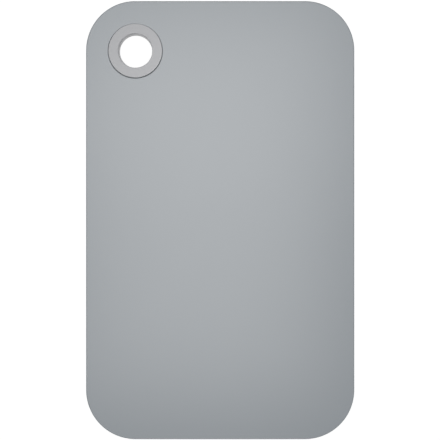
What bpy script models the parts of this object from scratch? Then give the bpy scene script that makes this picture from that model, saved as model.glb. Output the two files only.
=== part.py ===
# Breakfast board in moulded plastic, with a two-part eyelet snapped into its hanging hole.
# Metres, +Z up. The board lies on its back with its long side along Y and the origin under
# its middle. The eyelet is in the corner at -X, +Y, close to the axis of that corner's arc.

import math

import bmesh
import bpy
from mathutils import Matrix

# Board
BOARD_LENGTH = 0.245
BOARD_WIDTH = 0.150
BOARD_THICKNESS = 0.008
CORNER_RADIUS = 0.0275
EDGE_RADIUS = 0.0008
RECESS_EDGE_RADIUS = 0.0001

# Eyelet flanges, one let into each face of the board, and the hole, which narrows to the back
EYELET_SIDE_INSET = 0.0275
EYELET_END_INSET = 0.0280
HOLE_FRONT_DIAMETER = 0.0191
HOLE_BACK_DIAMETER = 0.0182
HOLE_EDGE_RADIUS = 0.0002
FLANGE_DIAMETER = 0.0301
FLANGE_THICKNESS = 0.0019
FLANGE_EDGE_RADIUS = 0.0002
FRONT_PROUD = 0.0002
BACK_SUNK = 0.0001

# Eyelet snap: the back half's spigot clicks into the front half's slotted barrel
SPIGOT_WALL = 0.00105
BARREL_WALL = 0.0013
LEAD_IN = 0.0002
LIP_HEIGHT = 0.0005
CATCH_DEPTH = 0.0002
BEAD_CROWN = 0.0003
BEAD_FLANK = 0.0005
SLIT_COUNT = 8
SLIT_WIDTH = 0.0008
SLIT_ROOT = 0.0004

# Clearances
SEAM_WIDTH = 0.00036
FIT_GAP = 0.0003
CUTTER_OVERRUN = 0.002

# Fineness of the facets
CORNER_STEPS = 20
EDGE_STEPS = 4
ARC_STEPS = 3
TURN_STEPS = 72
MERGE_DISTANCE = 0.00001
SMOOTH_ANGLE = math.radians(32)

# Radii of the eyelet, from the hole outwards
HOLE_FRONT_RADIUS = HOLE_FRONT_DIAMETER / 2
HOLE_BACK_RADIUS = HOLE_BACK_DIAMETER / 2
SPIGOT_RADIUS = HOLE_FRONT_RADIUS + SPIGOT_WALL
BARREL_BORE = SPIGOT_RADIUS + FIT_GAP
BEAD_RADIUS = BARREL_BORE + CATCH_DEPTH
GROOVE_RADIUS = BEAD_RADIUS + FIT_GAP
BARREL_RADIUS = BARREL_BORE + BARREL_WALL
WEB_BORE = BARREL_RADIUS + FIT_GAP
FLANGE_RADIUS = FLANGE_DIAMETER / 2
RECESS_RADIUS = FLANGE_RADIUS + SEAM_WIDTH

# Heights in the eyelet, from the back upwards
BACK_FLANGE_FACE = BACK_SUNK
BACK_FLANGE_SEAT = BACK_FLANGE_FACE + FLANGE_THICKNESS
BACK_RECESS_FLOOR = BACK_FLANGE_SEAT + FIT_GAP
BARREL_END = BACK_FLANGE_SEAT + FIT_GAP
LIP_TOP = BARREL_END + LIP_HEIGHT
BEAD_CATCH = LIP_TOP + FIT_GAP
BEAD_CROWN_TOP = BEAD_CATCH + BEAD_CROWN
GROOVE_TOP = BEAD_CROWN_TOP + FIT_GAP
FRONT_FLANGE_FACE = BOARD_THICKNESS + FRONT_PROUD
FRONT_FLANGE_SEAT = FRONT_FLANGE_FACE - FLANGE_THICKNESS
FRONT_RECESS_FLOOR = FRONT_FLANGE_SEAT - FIT_GAP
SPIGOT_END = FRONT_FLANGE_SEAT - FIT_GAP

# The eyelet's axis
EYELET_X = -(BOARD_WIDTH / 2 - EYELET_SIDE_INSET)
EYELET_Y = BOARD_LENGTH / 2 - EYELET_END_INSET

# Finishes as sRGB: the board's cool grey and the eyelet's lighter, more neutral one
BOARD_COLOUR = "#A1A7AC"
EYELET_COLOUR = "#A5A6AA"
BOARD_ROUGHNESS = 0.21
EYELET_ROUGHNESS = 0.21


def clear_scene():
    for obj in list(bpy.data.objects):
        bpy.data.objects.remove(obj, do_unlink=True)
    for collection in list(bpy.data.collections):
        bpy.data.collections.remove(collection)


def new_collection(name):
    collection = bpy.data.collections.new(name)
    bpy.context.scene.collection.children.link(collection)
    return collection


def to_linear(channel):
    if channel <= 0.04045:
        return channel / 12.92
    return ((channel + 0.055) / 1.055) ** 2.4


def plastic(name, colour, roughness):
    red, green, blue = (to_linear(int(colour[i : i + 2], 16) / 255) for i in (1, 3, 5))
    material = bpy.data.materials.new(name)
    material.use_nodes = True
    shader = material.node_tree.nodes["Principled BSDF"]
    shader.inputs["Base Color"].default_value = (red, green, blue, 1.0)
    shader.inputs["Roughness"].default_value = roughness
    shader.inputs["Metallic"].default_value = 0.0
    material.diffuse_color = (red, green, blue, 1.0)
    return material


def arc(centre_r, centre_z, radius, first, last):
    """Points of an arc in a turned profile, with angles in degrees from +R towards +Z."""
    points = []
    for step in range(ARC_STEPS + 1):
        angle = math.radians(first + (last - first) * step / ARC_STEPS)
        points.append(
            (centre_r + radius * math.cos(angle), centre_z + radius * math.sin(angle))
        )
    return points


def hole_radius(height):
    """The hole's radius at a height, as it widens evenly from the back face to the front."""
    share = (height - BACK_FLANGE_FACE) / (FRONT_FLANGE_FACE - BACK_FLANGE_FACE)
    return HOLE_BACK_RADIUS + (HOLE_FRONT_RADIUS - HOLE_BACK_RADIUS) * share


def turned(name, profile, collection, closed=True):
    """A profile of (radius, height) that runs down its outer side, turned about Z."""
    edges = [(i, i + 1) for i in range(len(profile) - 1)]
    if closed:
        edges.append((len(profile) - 1, 0))
    mesh = bpy.data.meshes.new(name)
    mesh.from_pydata([(radius, 0.0, height) for radius, height in profile], edges, [])
    obj = bpy.data.objects.new(name, mesh)
    collection.objects.link(obj)
    screw = obj.modifiers.new("Turn", "SCREW")
    screw.axis = "Z"
    screw.steps = TURN_STEPS
    screw.render_steps = TURN_STEPS
    screw.use_merge_vertices = True
    screw.merge_threshold = MERGE_DISTANCE
    return obj


def cut(obj, cutter):
    cutter.hide_render = True
    cutter.display_type = "WIRE"
    boolean = obj.modifiers.new(cutter.name, "BOOLEAN")
    boolean.operation = "DIFFERENCE"
    boolean.object = cutter


def finish(obj, material):
    """Applies the modifiers, then shades the rounds smooth and leaves the corners sharp."""
    bpy.context.view_layer.update()
    evaluated = obj.evaluated_get(bpy.context.evaluated_depsgraph_get())
    mesh = bpy.data.meshes.new_from_object(evaluated)
    mesh.name = obj.name
    obj.modifiers.clear()
    obj.data = mesh
    mesh.materials.clear()
    mesh.materials.append(material)
    mesh.shade_smooth()
    mesh.set_sharp_from_angle(angle=SMOOTH_ANGLE)


def bore_cutter(collection):
    """The hole through the board, with a recess for a flange in each face."""
    rim_radius = RECESS_RADIUS + RECESS_EDGE_RADIUS
    front_rim = BOARD_THICKNESS - RECESS_EDGE_RADIUS
    profile = [
        (0.0, BOARD_THICKNESS + CUTTER_OVERRUN),
        (rim_radius, BOARD_THICKNESS + CUTTER_OVERRUN),
        *arc(rim_radius, front_rim, RECESS_EDGE_RADIUS, 90, 180),
        (RECESS_RADIUS, FRONT_RECESS_FLOOR),
        (WEB_BORE, FRONT_RECESS_FLOOR),
        (WEB_BORE, BACK_RECESS_FLOOR),
        (RECESS_RADIUS, BACK_RECESS_FLOOR),
        *arc(rim_radius, RECESS_EDGE_RADIUS, RECESS_EDGE_RADIUS, 180, 270),
        (rim_radius, -CUTTER_OVERRUN),
        (0.0, -CUTTER_OVERRUN),
    ]
    return turned("bore_cutter", profile, collection, closed=False)


def board(parts, cutters, eyelet_axis, material):
    """A slab with its upright corners and its edges rounded, bored for the eyelet."""
    slab = bmesh.new()
    bmesh.ops.create_cube(slab, size=1.0)
    size = (BOARD_WIDTH, BOARD_LENGTH, BOARD_THICKNESS)
    bmesh.ops.scale(slab, vec=size, verts=slab.verts)
    bmesh.ops.translate(slab, vec=(0.0, 0.0, BOARD_THICKNESS / 2), verts=slab.verts)
    uprights = [edge for edge in slab.edges if edge.verts[0].co.xy == edge.verts[1].co.xy]
    bmesh.ops.bevel(
        slab,
        geom=uprights,
        offset=CORNER_RADIUS,
        segments=CORNER_STEPS,
        profile=0.5,
        affect="EDGES",
    )
    mesh = bpy.data.meshes.new("board")
    slab.to_mesh(mesh)
    slab.free()
    obj = bpy.data.objects.new("board", mesh)
    parts.objects.link(obj)
    rounding = obj.modifiers.new("Edge rounding", "BEVEL")
    rounding.limit_method = "ANGLE"
    rounding.angle_limit = SMOOTH_ANGLE
    rounding.width = EDGE_RADIUS
    rounding.segments = EDGE_STEPS
    cutter = bore_cutter(cutters)
    cutter.parent = eyelet_axis
    cut(obj, cutter)
    finish(obj, material)


def slit_cutter(collection):
    """Narrow boxes set round the barrel, which part it into spring fingers."""
    inside = (SPIGOT_RADIUS + BARREL_BORE) / 2
    outside = (BARREL_RADIUS + WEB_BORE) / 2
    bottom = BARREL_END - CUTTER_OVERRUN
    top = FRONT_FLANGE_SEAT - SLIT_ROOT
    size = (outside - inside, SLIT_WIDTH, top - bottom)
    centre = ((outside + inside) / 2, 0.0, (top + bottom) / 2)
    slits = bmesh.new()
    for index in range(SLIT_COUNT):
        box = bmesh.ops.create_cube(slits, size=1.0)["verts"]
        bmesh.ops.scale(slits, vec=size, verts=box)
        bmesh.ops.translate(slits, vec=centre, verts=box)
        turn = Matrix.Rotation(math.tau * (index + 0.5) / SLIT_COUNT, 3, "Z")
        bmesh.ops.rotate(slits, cent=(0.0, 0.0, 0.0), matrix=turn, verts=box)
    mesh = bpy.data.meshes.new("slit_cutter")
    slits.to_mesh(mesh)
    slits.free()
    obj = bpy.data.objects.new("slit_cutter", mesh)
    collection.objects.link(obj)
    return obj


def eyelet_front(parts, cutters, eyelet_axis, material):
    """Front flange with the barrel, whose fingers have a groove and a lip inside."""
    flange_edge_r = FLANGE_RADIUS - FLANGE_EDGE_RADIUS
    flange_edge_z = FRONT_FLANGE_FACE - FLANGE_EDGE_RADIUS
    hole_edge_r = HOLE_FRONT_RADIUS + HOLE_EDGE_RADIUS
    hole_edge_z = FRONT_FLANGE_FACE - HOLE_EDGE_RADIUS
    groove_flank = BEAD_FLANK * (GROOVE_RADIUS - BARREL_BORE) / (BEAD_RADIUS - SPIGOT_RADIUS)
    profile = [
        *arc(flange_edge_r, flange_edge_z, FLANGE_EDGE_RADIUS, 90, 0),
        (FLANGE_RADIUS, FRONT_FLANGE_SEAT),
        (BARREL_RADIUS, FRONT_FLANGE_SEAT),
        (BARREL_RADIUS, BARREL_END + LEAD_IN),
        (BARREL_RADIUS - LEAD_IN, BARREL_END),
        (BARREL_BORE + LEAD_IN, BARREL_END),
        (BARREL_BORE, BARREL_END + LEAD_IN),
        (BARREL_BORE, LIP_TOP),
        (GROOVE_RADIUS, LIP_TOP),
        (GROOVE_RADIUS, GROOVE_TOP),
        (BARREL_BORE, GROOVE_TOP + groove_flank),
        (BARREL_BORE, FRONT_FLANGE_SEAT),
        (hole_radius(FRONT_FLANGE_SEAT), FRONT_FLANGE_SEAT),
        *arc(hole_edge_r, hole_edge_z, HOLE_EDGE_RADIUS, 180, 90),
    ]
    obj = turned("eyelet_front", profile, parts)
    obj.parent = eyelet_axis
    cutter = slit_cutter(cutters)
    cutter.parent = eyelet_axis
    cut(obj, cutter)
    finish(obj, material)


def eyelet_back(parts, eyelet_axis, material):
    """Back flange with the spigot that lines the hole and carries the snap bead."""
    flange_edge_r = FLANGE_RADIUS - FLANGE_EDGE_RADIUS
    flange_edge_z = BACK_FLANGE_FACE + FLANGE_EDGE_RADIUS
    hole_edge_r = HOLE_BACK_RADIUS + HOLE_EDGE_RADIUS
    hole_edge_z = BACK_FLANGE_FACE + HOLE_EDGE_RADIUS
    profile = [
        (hole_radius(SPIGOT_END), SPIGOT_END),
        (SPIGOT_RADIUS - LEAD_IN, SPIGOT_END),
        (SPIGOT_RADIUS, SPIGOT_END - LEAD_IN),
        (SPIGOT_RADIUS, BEAD_CROWN_TOP + BEAD_FLANK),
        (BEAD_RADIUS, BEAD_CROWN_TOP),
        (BEAD_RADIUS, BEAD_CATCH),
        (SPIGOT_RADIUS, BEAD_CATCH),
        (SPIGOT_RADIUS, BACK_FLANGE_SEAT),
        (FLANGE_RADIUS, BACK_FLANGE_SEAT),
        *arc(flange_edge_r, flange_edge_z, FLANGE_EDGE_RADIUS, 0, -90),
        *arc(hole_edge_r, hole_edge_z, HOLE_EDGE_RADIUS, 270, 180),
    ]
    obj = turned("eyelet_back", profile, parts)
    obj.parent = eyelet_axis
    finish(obj, material)


def main():
    clear_scene()
    parts = new_collection("breakfast_board")
    cutters = new_collection("cutters")
    board_plastic = plastic("board_polypropylene", BOARD_COLOUR, BOARD_ROUGHNESS)
    eyelet_plastic = plastic("eyelet_abs", EYELET_COLOUR, EYELET_ROUGHNESS)
    eyelet_axis = bpy.data.objects.new("eyelet_axis", None)
    eyelet_axis.location = (EYELET_X, EYELET_Y, 0.0)
    parts.objects.link(eyelet_axis)
    board(parts, cutters, eyelet_axis, board_plastic)
    eyelet_front(parts, cutters, eyelet_axis, eyelet_plastic)
    eyelet_back(parts, eyelet_axis, eyelet_plastic)


main()
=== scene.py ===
import math

import bmesh
import bpy
from mathutils import Matrix, Vector


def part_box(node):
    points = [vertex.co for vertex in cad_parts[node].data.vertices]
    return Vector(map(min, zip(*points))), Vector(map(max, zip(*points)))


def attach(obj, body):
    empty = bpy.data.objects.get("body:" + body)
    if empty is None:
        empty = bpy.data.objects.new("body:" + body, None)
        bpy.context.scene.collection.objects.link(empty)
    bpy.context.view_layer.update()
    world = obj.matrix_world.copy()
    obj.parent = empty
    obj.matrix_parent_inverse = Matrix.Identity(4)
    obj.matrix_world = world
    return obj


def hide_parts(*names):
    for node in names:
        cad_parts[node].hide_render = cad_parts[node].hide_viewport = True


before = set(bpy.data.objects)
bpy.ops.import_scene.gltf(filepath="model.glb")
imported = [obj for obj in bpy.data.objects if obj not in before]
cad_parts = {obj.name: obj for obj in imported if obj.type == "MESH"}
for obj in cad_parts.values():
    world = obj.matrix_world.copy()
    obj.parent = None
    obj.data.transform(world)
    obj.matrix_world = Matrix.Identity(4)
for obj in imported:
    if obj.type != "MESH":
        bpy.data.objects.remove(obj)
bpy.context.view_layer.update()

mergeDistance = 0.000001
cutOverrun = 0.002  # how far a cutter reaches past what it cuts
sharpAngle = math.radians(35)  # edges that turn more than this are shaded sharp


def hexToLinear(hexColour):
    channels = [int(hexColour[i:i + 2], 16) / 255 for i in (1, 3, 5)]
    linear = [c / 12.92 if c <= 0.04045 else ((c + 0.055) / 1.055) ** 2.4 for c in channels]
    return (*linear, 1.0)


def addNode(tree, kind, inputs=None, **settings):
    node = tree.nodes.new(kind)
    for name, value in settings.items():
        setattr(node, name, value)
    for name, value in (inputs or {}).items():
        if isinstance(value, bpy.types.NodeSocket):
            tree.links.new(value, node.inputs[name])
        else:
            node.inputs[name].default_value = value
    return node


def newMaterial(name):
    material = bpy.data.materials.new(name)
    material.use_nodes = True
    material.node_tree.nodes.clear()
    return material, material.node_tree


mouldGrain = {
    "depth": 0.00002,
    "strength": 0.04,
}


def plasticSurface(tree, place, colour, roughness, look):
    # The grain that a mould leaves is under 0.1 mm across. It is drawn coarser, to show close up,
    # and from the photograph's distance it only softens the gloss
    grain = addNode(tree, "ShaderNodeTexNoise", {
        "Vector": place, "Scale": 1 / look["grainSize"], "Detail": 1.0,
    })
    bump = addNode(tree, "ShaderNodeBump", {
        "Height": grain.outputs["Fac"],
        "Strength": mouldGrain["strength"], "Distance": mouldGrain["depth"],
    })
    shader = addNode(tree, "ShaderNodeBsdfPrincipled", {
        "Base Color": colour, "Roughness": roughness, "IOR": look["ior"], "Normal": bump.outputs["Normal"],
    })
    addNode(tree, "ShaderNodeOutputMaterial", {"Surface": shader.outputs["BSDF"]})


def arcPoints(centreR, centreZ, radius, first, last, segments):
    # Points of (radius, height) on an arc, from the first angle to the last, in degrees
    points = []
    for step in range(segments + 1):
        angle = math.radians(first + (last - first) * step / segments)
        points.append((centreR + radius * math.cos(angle), centreZ + radius * math.sin(angle)))
    return points


def turnProfile(profile, centre, steps, closed):
    # Spins a profile of (radius, height) round the upright axis through centre
    bm = bmesh.new()
    verts = [bm.verts.new((centre.x + radius, centre.y, height)) for radius, height in profile]
    edges = [bm.edges.new(pair) for pair in zip(verts, verts[1:])]
    if closed:
        edges.append(bm.edges.new((verts[-1], verts[0])))
    bmesh.ops.spin(bm, geom=verts + edges, cent=(centre.x, centre.y, 0.0), axis=(0.0, 0.0, 1.0),
                   dvec=(0.0, 0.0, 0.0), angle=math.tau, steps=steps, use_merge=True)
    bmesh.ops.remove_doubles(bm, verts=bm.verts, dist=mergeDistance)
    bmesh.ops.recalc_face_normals(bm, faces=bm.faces)
    return bm


def roundEdges(bm, edges, radius, segments):
    bmesh.ops.bevel(bm, geom=edges, offset=radius, segments=segments,
                    affect="EDGES", profile=0.5, material=-1)


def meshObject(name, bm):
    mesh = bpy.data.meshes.new(name)
    bm.to_mesh(mesh)
    bm.free()
    piece = bpy.data.objects.new(name, mesh)
    bpy.context.scene.collection.objects.link(piece)
    return piece


def cutWith(piece, cutter):
    boolean = piece.modifiers.new("cut", "BOOLEAN")
    boolean.operation = "DIFFERENCE"
    boolean.object = cutter
    bpy.context.view_layer.update()
    evaluated = piece.evaluated_get(bpy.context.evaluated_depsgraph_get())
    piece.data = bpy.data.meshes.new_from_object(evaluated)
    piece.modifiers.clear()
    bpy.data.objects.remove(cutter)


def finishPiece(piece, node, material):
    piece.data.materials.clear()
    piece.data.materials.append(material)
    piece.data.shade_smooth()
    piece.data.set_sharp_from_angle(angle=sharpAngle)
    weighted = piece.modifiers.new("weightedNormals", "WEIGHTED_NORMAL")
    weighted.keep_sharp = True
    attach(piece, "root")
    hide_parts(node)
    print(f"{piece.name}: {len(piece.data.polygons)} faces")


boardLow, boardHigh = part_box("board")
frontLow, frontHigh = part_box("eyelet_front")
backLow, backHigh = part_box("eyelet_back")
boardMiddle = (boardLow + boardHigh) / 2
eyeletCentre = (frontLow + frontHigh) / 2
eyeletAxis = eyeletCentre.xy.to_3d()


eyeletLook = {
    "holeFrontDiameter": 0.0191,  # the hole narrows evenly to the back
    "holeBackDiameter": 0.0182,
    "flangeThickness": 0.0019,
    "flangeEdgeRadius": 0.00012,
    "holeEdgeRadius": 0.0002,
    "seamWidth": 0.00032,
    "frontPlay": (0.0, 0.00027, 0.0),  # how far each half sits off the middle of its recess
    "backPlay": (0.00016, 0.00025, 0.0),
    "fitGap": 0.0003,
    "spigotWall": 0.00105,
    "barrelWall": 0.0013,
    "leadIn": 0.0002,
    "lipHeight": 0.0005,
    "catchDepth": 0.0002,
    "beadCrown": 0.0003,
    "beadFlank": 0.0005,
    "slitCount": 8,
    "slitWidth": 0.0008,
    "slitRoot": 0.0004,
    "turnSteps": 192,
    "arcSegments": 6,
    "colour": "#A5A6AA",
    "roughness": 0.21,
    "wallRoughness": 0.32,
    "wallBlend": (0.3, 0.7),  # height of the normal as the walls' finish fades into the flanges'
    "grainSize": 0.0002,
    "ior": 1.54,
}

flangeRadius = (frontHigh.x - frontLow.x) / 2
recessRadius = flangeRadius + eyeletLook["seamWidth"]
holeFrontRadius = eyeletLook["holeFrontDiameter"] / 2
holeBackRadius = eyeletLook["holeBackDiameter"] / 2
spigotRadius = holeFrontRadius + eyeletLook["spigotWall"]
barrelBore = spigotRadius + eyeletLook["fitGap"]
barrelRadius = barrelBore + eyeletLook["barrelWall"]
webBore = barrelRadius + eyeletLook["fitGap"]
frontSeat = frontHigh.z - eyeletLook["flangeThickness"]
backSeat = backLow.z + eyeletLook["flangeThickness"]


def holeRadiusAt(height):
    # The hole widens evenly from the back flange's face to the front flange's
    share = (height - backLow.z) / (frontHigh.z - backLow.z)
    return holeBackRadius + (holeFrontRadius - holeBackRadius) * share


boardLook = {
    "cornerRadius": 0.0275,
    "cornerSegments": 40,
    "edgeRadius": 0.0005,
    "edgeSegments": 8,
    "recessEdgeRadius": 0.00006,
    "partingLineWidth": 0.00016,  # where the two halves of the mould met
    "partingLineDepth": 0.00004,
    "colour": "#A0A7AD",
    "mottleColour": "#A2A9AF",
    "mottleScale": 35.0,  # patches about 29 mm across, so 1 / 0.029 m
    "roughness": 0.21,
    "edgeRoughness": 0.4,
    "edgeBlend": (0.0001, 0.0006),  # how far below the faces their finish fades into the edges' one
    "grainSize": 0.00025,  # metres, so the noise's scale is one over it
    "ior": 1.49,
}


def mouldedPolypropylene(look):
    # Polypropylene, a soft, slightly cloudy grey: satin on the two faces, where the mould is finest,
    # and matt on the sides and in the bore, so the seam round the eyelet looks dark
    material, tree = newMaterial("mouldedPolypropylene")
    place = addNode(tree, "ShaderNodeTexCoord").outputs["Object"]
    cloud = addNode(tree, "ShaderNodeTexNoise", {
        "Vector": place, "Scale": look["mottleScale"], "Detail": 2.0,
    })
    colour = addNode(tree, "ShaderNodeMix", {
        "Factor": cloud.outputs["Fac"],
        6: hexToLinear(look["colour"]), 7: hexToLinear(look["mottleColour"]),  # its two colours, A and B
    }, data_type="RGBA")
    height = addNode(tree, "ShaderNodeSeparateXYZ", {"Vector": place}).outputs["Z"]
    offset = addNode(tree, "ShaderNodeMath", {0: height, 1: boardMiddle.z}, operation="SUBTRACT")
    fromMiddle = addNode(tree, "ShaderNodeMath", {0: offset.outputs[0]}, operation="ABSOLUTE")
    halfThickness = boardHigh.z - boardMiddle.z
    fadeStart, fadeEnd = look["edgeBlend"]
    roughness = addNode(tree, "ShaderNodeMapRange", {
        "Value": fromMiddle.outputs[0],
        "From Min": halfThickness - fadeEnd, "From Max": halfThickness - fadeStart,
        "To Min": look["edgeRoughness"], "To Max": look["roughness"],
    })
    plasticSurface(tree, place, colour.outputs[2], roughness.outputs["Result"], look)
    return material


def makeBore():
    # Cuts a recess for each flange and, between them, the way through for the barrel
    rim = boardLook["recessEdgeRadius"]
    rimRadius = recessRadius + rim
    segments = eyeletLook["arcSegments"]
    profile = [
        (0.0, boardHigh.z + cutOverrun),
        (rimRadius, boardHigh.z + cutOverrun),
        *arcPoints(rimRadius, boardHigh.z - rim, rim, 90, 180, segments),
        (recessRadius, frontSeat - eyeletLook["fitGap"]),
        (webBore, frontSeat - eyeletLook["fitGap"]),
        (webBore, backSeat + eyeletLook["fitGap"]),
        (recessRadius, backSeat + eyeletLook["fitGap"]),
        *arcPoints(rimRadius, boardLow.z + rim, rim, 180, 270, segments),
        (rimRadius, boardLow.z - cutOverrun),
        (0.0, boardLow.z - cutOverrun),
    ]
    return meshObject("bore", turnProfile(profile, eyeletCentre, eyeletLook["turnSteps"], closed=False))


def makeBoard():
    look = boardLook
    bm = bmesh.new()
    bmesh.ops.create_cube(bm, size=1.0)
    bmesh.ops.scale(bm, vec=boardHigh - boardLow, verts=bm.verts)
    bmesh.ops.translate(bm, vec=boardMiddle, verts=bm.verts)
    uprights = [edge for edge in bm.edges if edge.verts[0].co.xy == edge.verts[1].co.xy]
    roundEdges(bm, uprights, look["cornerRadius"], look["cornerSegments"])
    rims = [edge for edge in bm.edges if edge.verts[0].co.z == edge.verts[1].co.z]
    roundEdges(bm, rims, look["edgeRadius"], look["edgeSegments"])
    # The parting line runs round the side at half height, a shallow groove of two bevelled strips
    parted = bmesh.ops.bisect_plane(bm, geom=bm.verts[:] + bm.edges[:] + bm.faces[:], dist=mergeDistance,
                                    plane_co=boardMiddle, plane_no=(0.0, 0.0, 1.0))["geom_cut"]
    line = [item for item in parted if isinstance(item, bmesh.types.BMEdge)]
    roundEdges(bm, line, look["partingLineWidth"] / 2, 2)
    bm.normal_update()
    for vert in bm.verts:
        if abs(vert.co.z - boardMiddle.z) < mergeDistance:
            vert.co -= vert.normal * look["partingLineDepth"]
    piece = meshObject("boardSlab", bm)
    cutWith(piece, makeBore())
    finishPiece(piece, "board", mouldedPolypropylene(look))


def mouldedAbs(look):
    # ABS from a polished mould: a cleaner, more neutral grey than the board's. The walls that
    # slide along the tool as it opens are matt, so the inside of the hole looks dark
    material, tree = newMaterial("mouldedAbs")
    coordinates = addNode(tree, "ShaderNodeTexCoord").outputs
    upright = addNode(tree, "ShaderNodeSeparateXYZ", {"Vector": coordinates["Normal"]}).outputs["Z"]
    facing = addNode(tree, "ShaderNodeMath", {0: upright}, operation="ABSOLUTE")
    fadeStart, fadeEnd = look["wallBlend"]
    roughness = addNode(tree, "ShaderNodeMapRange", {
        "Value": facing.outputs[0], "From Min": fadeStart, "From Max": fadeEnd,
        "To Min": look["wallRoughness"], "To Max": look["roughness"],
    })
    colour = hexToLinear(look["colour"])
    plasticSurface(tree, coordinates["Object"], colour, roughness.outputs["Result"], look)
    return material


def makeSlits():
    # One box for each slit, from the middle of the gap inside the barrel to that outside it
    look = eyeletLook
    inside = (spigotRadius + barrelBore) / 2
    outside = (barrelRadius + webBore) / 2
    bottom = backSeat - cutOverrun
    top = frontSeat - look["slitRoot"]
    size = (outside - inside, look["slitWidth"], top - bottom)
    middle = eyeletAxis + Vector(((inside + outside) / 2, 0.0, (top + bottom) / 2))
    bm = bmesh.new()
    for index in range(look["slitCount"]):
        box = bmesh.ops.create_cube(bm, size=1.0)["verts"]
        bmesh.ops.scale(bm, vec=size, verts=box)
        bmesh.ops.translate(bm, vec=middle, verts=box)
        turn = Matrix.Rotation(math.tau * (index + 0.5) / look["slitCount"], 3, "Z")
        bmesh.ops.rotate(bm, cent=eyeletAxis, matrix=turn, verts=box)
    return meshObject("slits", bm)


def makeEyeletFront(material):
    # The flange that shows, and behind it the barrel of spring fingers with the groove inside
    look = eyeletLook
    segments = look["arcSegments"]
    flangeEdge = look["flangeEdgeRadius"]
    holeEdge = look["holeEdgeRadius"]
    barrelEnd = backSeat + look["fitGap"]
    lipTop = barrelEnd + look["lipHeight"]
    grooveRadius = barrelBore + look["catchDepth"] + look["fitGap"]
    grooveTop = lipTop + look["beadCrown"] + 2 * look["fitGap"]
    profile = [
        *arcPoints(flangeRadius - flangeEdge, frontHigh.z - flangeEdge, flangeEdge, 90, 0, segments),
        (flangeRadius, frontSeat),
        (barrelRadius, frontSeat),
        (barrelRadius, barrelEnd + look["leadIn"]),
        (barrelRadius - look["leadIn"], barrelEnd),
        (barrelBore + look["leadIn"], barrelEnd),
        (barrelBore, barrelEnd + look["leadIn"]),
        (barrelBore, lipTop),
        (grooveRadius, lipTop),
        (grooveRadius, grooveTop),
        (barrelBore, grooveTop + look["beadFlank"]),
        (barrelBore, frontSeat),
        (holeRadiusAt(frontSeat), frontSeat),
        *arcPoints(holeFrontRadius + holeEdge, frontHigh.z - holeEdge, holeEdge, 180, 90, segments),
    ]
    ring = turnProfile(profile, eyeletCentre, look["turnSteps"], closed=True)
    piece = meshObject("eyeletFrontRing", ring)
    cutWith(piece, makeSlits())
    piece.data.transform(Matrix.Translation(look["frontPlay"]))
    finishPiece(piece, "eyelet_front", material)


def makeEyeletBack(material):
    # The flange on the back, and the spigot that lines the hole and carries the snap bead
    look = eyeletLook
    segments = look["arcSegments"]
    flangeEdge = look["flangeEdgeRadius"]
    holeEdge = look["holeEdgeRadius"]
    spigotEnd = backHigh.z
    beadRadius = barrelBore + look["catchDepth"]
    beadCatch = backSeat + look["lipHeight"] + 2 * look["fitGap"]
    beadTop = beadCatch + look["beadCrown"]
    profile = [
        (holeRadiusAt(spigotEnd), spigotEnd),
        (spigotRadius - look["leadIn"], spigotEnd),
        (spigotRadius, spigotEnd - look["leadIn"]),
        (spigotRadius, beadTop + look["beadFlank"]),
        (beadRadius, beadTop),
        (beadRadius, beadCatch),
        (spigotRadius, beadCatch),
        (spigotRadius, backSeat),
        (flangeRadius, backSeat),
        *arcPoints(flangeRadius - flangeEdge, backLow.z + flangeEdge, flangeEdge, 0, -90, segments),
        *arcPoints(holeBackRadius + holeEdge, backLow.z + holeEdge, holeEdge, 270, 180, segments),
    ]
    ring = turnProfile(profile, eyeletCentre, look["turnSteps"], closed=True)
    piece = meshObject("eyeletBackRing", ring)
    piece.data.transform(Matrix.Translation(look["backPlay"]))
    finishPiece(piece, "eyelet_back", material)


def backdropSeen(tree):
    # 1 for rays that show the backdrop: straight to the camera, or by way of gloss or glass
    rays = addNode(tree, "ShaderNodeLightPath").outputs
    either = addNode(tree, "ShaderNodeMath", {
        0: rays["Is Camera Ray"], 1: rays["Is Glossy Ray"],
    }, operation="MAXIMUM")
    return addNode(tree, "ShaderNodeMath", {
        0: either.outputs[0], 1: rays["Is Transmission Ray"],
    }, operation="MAXIMUM").outputs[0]


def mixForBackdrop(tree, lit, shown, output):
    # lit is what lights the board, shown is what the backdrop itself looks like
    mix = addNode(tree, "ShaderNodeMixShader", {0: backdropSeen(tree), 1: lit, 2: shown})
    addNode(tree, output, {"Surface": mix.outputs[0]})


stageLook = {
    "floorSize": 12.0,
    "floorGap": 0.0002,  # keeps the floor off the board's own face
    "floorColour": "#E6E6E6",
    "floorGlow": 0.94,  # what the camera sees of the floor without any light
    "floorShade": 0.22,  # how much of its own colour it adds, which the board's shadow takes away
    "fillStrength": 0.3,
}


def makeFloor():
    look = stageLook
    bm = bmesh.new()
    bmesh.ops.create_grid(bm, x_segments=1, y_segments=1, size=look["floorSize"] / 2)
    bmesh.ops.translate(bm, vec=(0.0, 0.0, boardLow.z - look["floorGap"]), verts=bm.verts)
    floor = meshObject("floor", bm)
    material, tree = newMaterial("paperSweep")
    white = hexToLinear(look["floorColour"])
    grey = [channel * look["floorShade"] for channel in white[:3]]
    paper = addNode(tree, "ShaderNodeBsdfDiffuse", {"Color": white})
    glow = addNode(tree, "ShaderNodeEmission", {"Strength": look["floorGlow"]})
    faint = addNode(tree, "ShaderNodeBsdfDiffuse", {"Color": (*grey, 1.0)})
    seen = addNode(tree, "ShaderNodeAddShader", {0: glow.outputs[0], 1: faint.outputs[0]})
    mixForBackdrop(tree, paper.outputs[0], seen.outputs[0], "ShaderNodeOutputMaterial")
    floor.data.materials.append(material)


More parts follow.
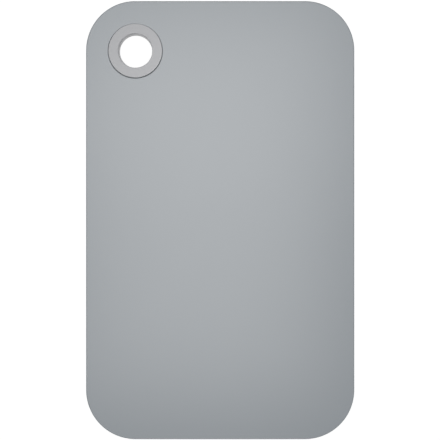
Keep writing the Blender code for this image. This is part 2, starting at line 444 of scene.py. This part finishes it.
def makeWorld():
    world = bpy.data.worlds.new("studio")
    world.use_nodes = True
    tree = world.node_tree
    tree.nodes.clear()
    white = hexToLinear("#FFFFFF")
    fill = addNode(tree, "ShaderNodeBackground", {"Color": white, "Strength": stageLook["fillStrength"]})
    backdrop = addNode(tree, "ShaderNodeBackground", {"Color": white, "Strength": 1.0})
    mixForBackdrop(tree, fill.outputs[0], backdrop.outputs[0], "ShaderNodeOutputWorld")
    bpy.context.scene.world = world


softboxLook = {
    "place": (-0.027, 0.022, 1.208),
    "aim": (-0.027, 0.022, 0.0),
    "size": (0.335, 0.497),
    "radiance": 5.33,
}
keyLook = {
    "place": (0.025, 0.332, 1.308),
    "aim": (0.0, 0.0, 0.008),
    "size": (0.6, 0.6),
    "radiance": 1.48,
}


def makeLamp(name, look):
    light = bpy.data.lights.new(name, "AREA")
    light.shape = "RECTANGLE"
    light.size, light.size_y = look["size"]
    light.energy = look["radiance"] * math.pi * look["size"][0] * look["size"][1]  # watts for that radiance
    lamp = bpy.data.objects.new(name, light)
    lamp.location = look["place"]
    lamp.rotation_mode = "QUATERNION"
    lamp.rotation_quaternion = (Vector(look["aim"]) - Vector(look["place"])).to_track_quat("-Z", "Y")
    lamp.visible_camera = False
    bpy.context.scene.collection.objects.link(lamp)


cameraLook = {
    "imageWidth": 440,
    "boardPixels": 437.92,  # the board's length in the photograph
    "boardCentre": (220.2, 220.11),  # its middle there, from the top left
    "distance": 1.030,  # over the front face, from how much of the hole's wall shows
    "sensorWidth": 36.0,
}


def makeCamera():
    look = cameraLook
    metresPerPixel = (boardHigh.y - boardLow.y) / look["boardPixels"]
    widestBelow = boardLook["edgeRadius"]  # the outline is widest under the rounded edge
    seenWidth = look["imageWidth"] * metresPerPixel
    half = look["imageWidth"] / 2
    camera = bpy.data.objects.new("camera", bpy.data.cameras.new("camera"))
    camera.data.sensor_width = look["sensorWidth"]
    camera.data.lens = look["sensorWidth"] * (look["distance"] + widestBelow) / seenWidth
    camera.location = (
        (half - look["boardCentre"][0]) * metresPerPixel,
        (look["boardCentre"][1] - half) * metresPerPixel,
        boardHigh.z + look["distance"],
    )
    bpy.context.scene.collection.objects.link(camera)
    bpy.context.scene.camera = camera
    bpy.context.scene.view_settings.view_transform = "Standard"


makeBoard()
eyeletPlastic = mouldedAbs(eyeletLook)
makeEyeletFront(eyeletPlastic)
makeEyeletBack(eyeletPlastic)
print("pieces made")
makeFloor()
makeWorld()
makeLamp("softbox", softboxLook)
makeLamp("key", keyLook)
makeCamera()
print("stage set")
